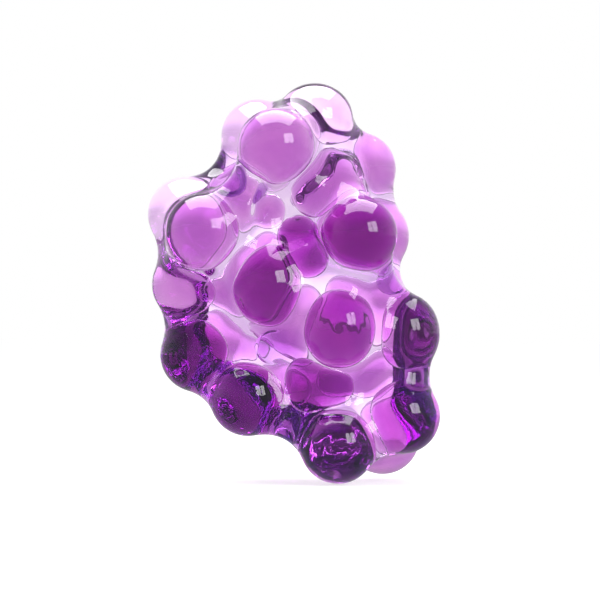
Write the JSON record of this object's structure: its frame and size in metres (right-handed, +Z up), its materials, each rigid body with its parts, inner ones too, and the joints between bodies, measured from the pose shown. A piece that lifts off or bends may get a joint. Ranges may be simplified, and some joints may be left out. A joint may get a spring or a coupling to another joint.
{
  "type": "stress ball",
  "caption": "Squeezable stress ball: a thin clear elastic skin over soft translucent purple gel beads, bulging between the fingers while squeezed; beads press in and spring back.",
  "frame": {"origin": "under the middle of the squeezed ball, at the height of its lowest bulge", "axes": "+Z up along the longest side of the squeezed ball, +Y from the fingers' side to the palm's side, through the squeezed thickness, +X to the right seen from the fingers' side"},
  "size_m": [0.0788, 0.0516, 0.1079],
  "materials": {
    "skin": "clear thermoplastic elastomer with a faint lilac tint, moulded glossy and stretched thin",
    "stopper": "clear lilac thermoplastic elastomer, moulded satin",
    "gel": "soft translucent purple water gel, wet and glossy"
  },
  "bodies": {
    "shell": {"skin": "skin", "plug": "stopper"},
    "bead_top_right": {"bead_top_right": "gel"},
    "bead_top_left": {"bead_top_left": "gel"},
    "bead_top_front": {"bead_top_front": "gel"},
    "bead_under_thumb": {"bead_under_thumb": "gel"},
    "bead_top_back": {"bead_top_back": "gel"},
    "bead_left_tip": {"bead_left_tip": "gel"},
    "bead_left_front": {"bead_left_front": "gel"},
    "bead_left_back": {"bead_left_back": "gel"},
    "bead_thumb_side": {"bead_thumb_side": "gel"},
    "bead_centre_upper": {"bead_centre_upper": "gel"},
    "bead_right_back": {"bead_right_back": "gel"},
    "bead_centre_front": {"bead_centre_front": "gel"},
    "bead_left_middle": {"bead_left_middle": "gel"},
    "bead_centre_back": {"bead_centre_back": "gel"},
    "bead_right_inner": {"bead_right_inner": "gel"},
    "bead_front": {"bead_front": "gel"},
    "bead_right": {"bead_right": "gel"},
    "bead_centre_lower": {"bead_centre_lower": "gel"},
    "bead_left_lower": {"bead_left_lower": "gel"},
    "bead_lower_back": {"bead_lower_back": "gel"},
    "bead_ring_side": {"bead_ring_side": "gel"},
    "bead_inner_lower": {"bead_inner_lower": "gel"},
    "bead_back_lower": {"bead_back_lower": "gel"},
    "bead_back_right": {"bead_back_right": "gel"},
    "bead_bottom_right": {"bead_bottom_right": "gel"},
    "bead_bottom": {"bead_bottom": "gel"},
    "bead_bottom_back": {"bead_bottom_back": "gel"}
  },
  "joints": [
    {"name": "press_top_right", "type": "slide", "parent": "shell", "child": "bead_top_right", "axis": [0, 1, 0], "range_m": [0, 0.002], "stiffness_N_per_m": 800},
    {"name": "press_top_left", "type": "slide", "parent": "shell", "child": "bead_top_left", "axis": [0, -1, 0], "range_m": [0, 0.002], "stiffness_N_per_m": 800},
    {"name": "press_top_front", "type": "slide", "parent": "shell", "child": "bead_top_front", "axis": [0, 1, 0], "range_m": [0, 0.002], "stiffness_N_per_m": 800},
    {"name": "press_under_thumb", "type": "slide", "parent": "shell", "child": "bead_under_thumb", "axis": [0, 1, 0], "range_m": [0, 0.002], "stiffness_N_per_m": 800},
    {"name": "press_top_back", "type": "slide", "parent": "shell", "child": "bead_top_back", "axis": [0, -1, 0], "range_m": [0, 0.002], "stiffness_N_per_m": 800},
    {"name": "press_left_tip", "type": "slide", "parent": "shell", "child": "bead_left_tip", "axis": [0, 1, 0], "range_m": [0, 0.002], "stiffness_N_per_m": 800},
    {"name": "press_left_front", "type": "slide", "parent": "shell", "child": "bead_left_front", "axis": [0, 1, 0], "range_m": [0, 0.002], "stiffness_N_per_m": 800},
    {"name": "press_left_back", "type": "slide", "parent": "shell", "child": "bead_left_back", "axis": [0, -1, 0], "range_m": [0, 0.002], "stiffness_N_per_m": 800},
    {"name": "press_thumb_side", "type": "slide", "parent": "shell", "child": "bead_thumb_side", "axis": [0, 1, 0], "range_m": [0, 0.002], "stiffness_N_per_m": 800},
    {"name": "press_centre_upper", "type": "slide", "parent": "shell", "child": "bead_centre_upper", "axis": [0, 1, 0], "range_m": [0, 0.002], "stiffness_N_per_m": 800},
    {"name": "press_right_back", "type": "slide", "parent": "shell", "child": "bead_right_back", "axis": [0, -1, 0], "range_m": [0, 0.002], "stiffness_N_per_m": 800},
    {"name": "press_centre_front", "type": "slide", "parent": "shell", "child": "bead_centre_front", "axis": [0, 1, 0], "range_m": [0, 0.002], "stiffness_N_per_m": 800},
    {"name": "press_left_middle", "type": "slide", "parent": "shell", "child": "bead_left_middle", "axis": [0, 1, 0], "range_m": [0, 0.002], "stiffness_N_per_m": 800},
    {"name": "press_centre_back", "type": "slide", "parent": "shell", "child": "bead_centre_back", "axis": [0, -1, 0], "range_m": [0, 0.002], "stiffness_N_per_m": 800},
    {"name": "press_right_inner", "type": "slide", "parent": "shell", "child": "bead_right_inner", "axis": [0, 1, 0], "range_m": [0, 0.002], "stiffness_N_per_m": 800},
    {"name": "press_front", "type": "slide", "parent": "shell", "child": "bead_front", "axis": [0, 1, 0], "range_m": [0, 0.002], "stiffness_N_per_m": 800},
    {"name": "press_right", "type": "slide", "parent": "shell", "child": "bead_right", "axis": [0, 1, 0], "range_m": [0, 0.002], "stiffness_N_per_m": 800},
    {"name": "press_centre_lower", "type": "slide", "parent": "shell", "child": "bead_centre_lower", "axis": [0, -1, 0], "range_m": [0, 0.002], "stiffness_N_per_m": 800},
    {"name": "press_left_lower", "type": "slide", "parent": "shell", "child": "bead_left_lower", "axis": [0, 1, 0], "range_m": [0, 0.002], "stiffness_N_per_m": 800},
    {"name": "press_lower_back", "type": "slide", "parent": "shell", "child": "bead_lower_back", "axis": [0, -1, 0], "range_m": [0, 0.002], "stiffness_N_per_m": 800},
    {"name": "press_ring_side", "type": "slide", "parent": "shell", "child": "bead_ring_side", "axis": [0, 1, 0], "range_m": [0, 0.002], "stiffness_N_per_m": 800},
    {"name": "press_inner_lower", "type": "slide", "parent": "shell", "child": "bead_inner_lower", "axis": [0, 1, 0], "range_m": [0, 0.002], "stiffness_N_per_m": 800},
    {"name": "press_back_lower", "type": "slide", "parent": "shell", "child": "bead_back_lower", "axis": [0, -1, 0], "range_m": [0, 0.002], "stiffness_N_per_m": 800},
    {"name": "press_back_right", "type": "slide", "parent": "shell", "child": "bead_back_right", "axis": [0, -1, 0], "range_m": [0, 0.002], "stiffness_N_per_m": 800},
    {"name": "press_bottom_right", "type": "slide", "parent": "shell", "child": "bead_bottom_right", "axis": [0, 1, 0], "range_m": [0, 0.002], "stiffness_N_per_m": 800},
    {"name": "press_bottom", "type": "slide", "parent": "shell", "child": "bead_bottom", "axis": [0, 1, 0], "range_m": [0, 0.002], "stiffness_N_per_m": 800},
    {"name": "press_bottom_back", "type": "slide", "parent": "shell", "child": "bead_bottom_back", "axis": [0, -1, 0], "range_m": [0, 0.002], "stiffness_N_per_m": 800}
  ]
}
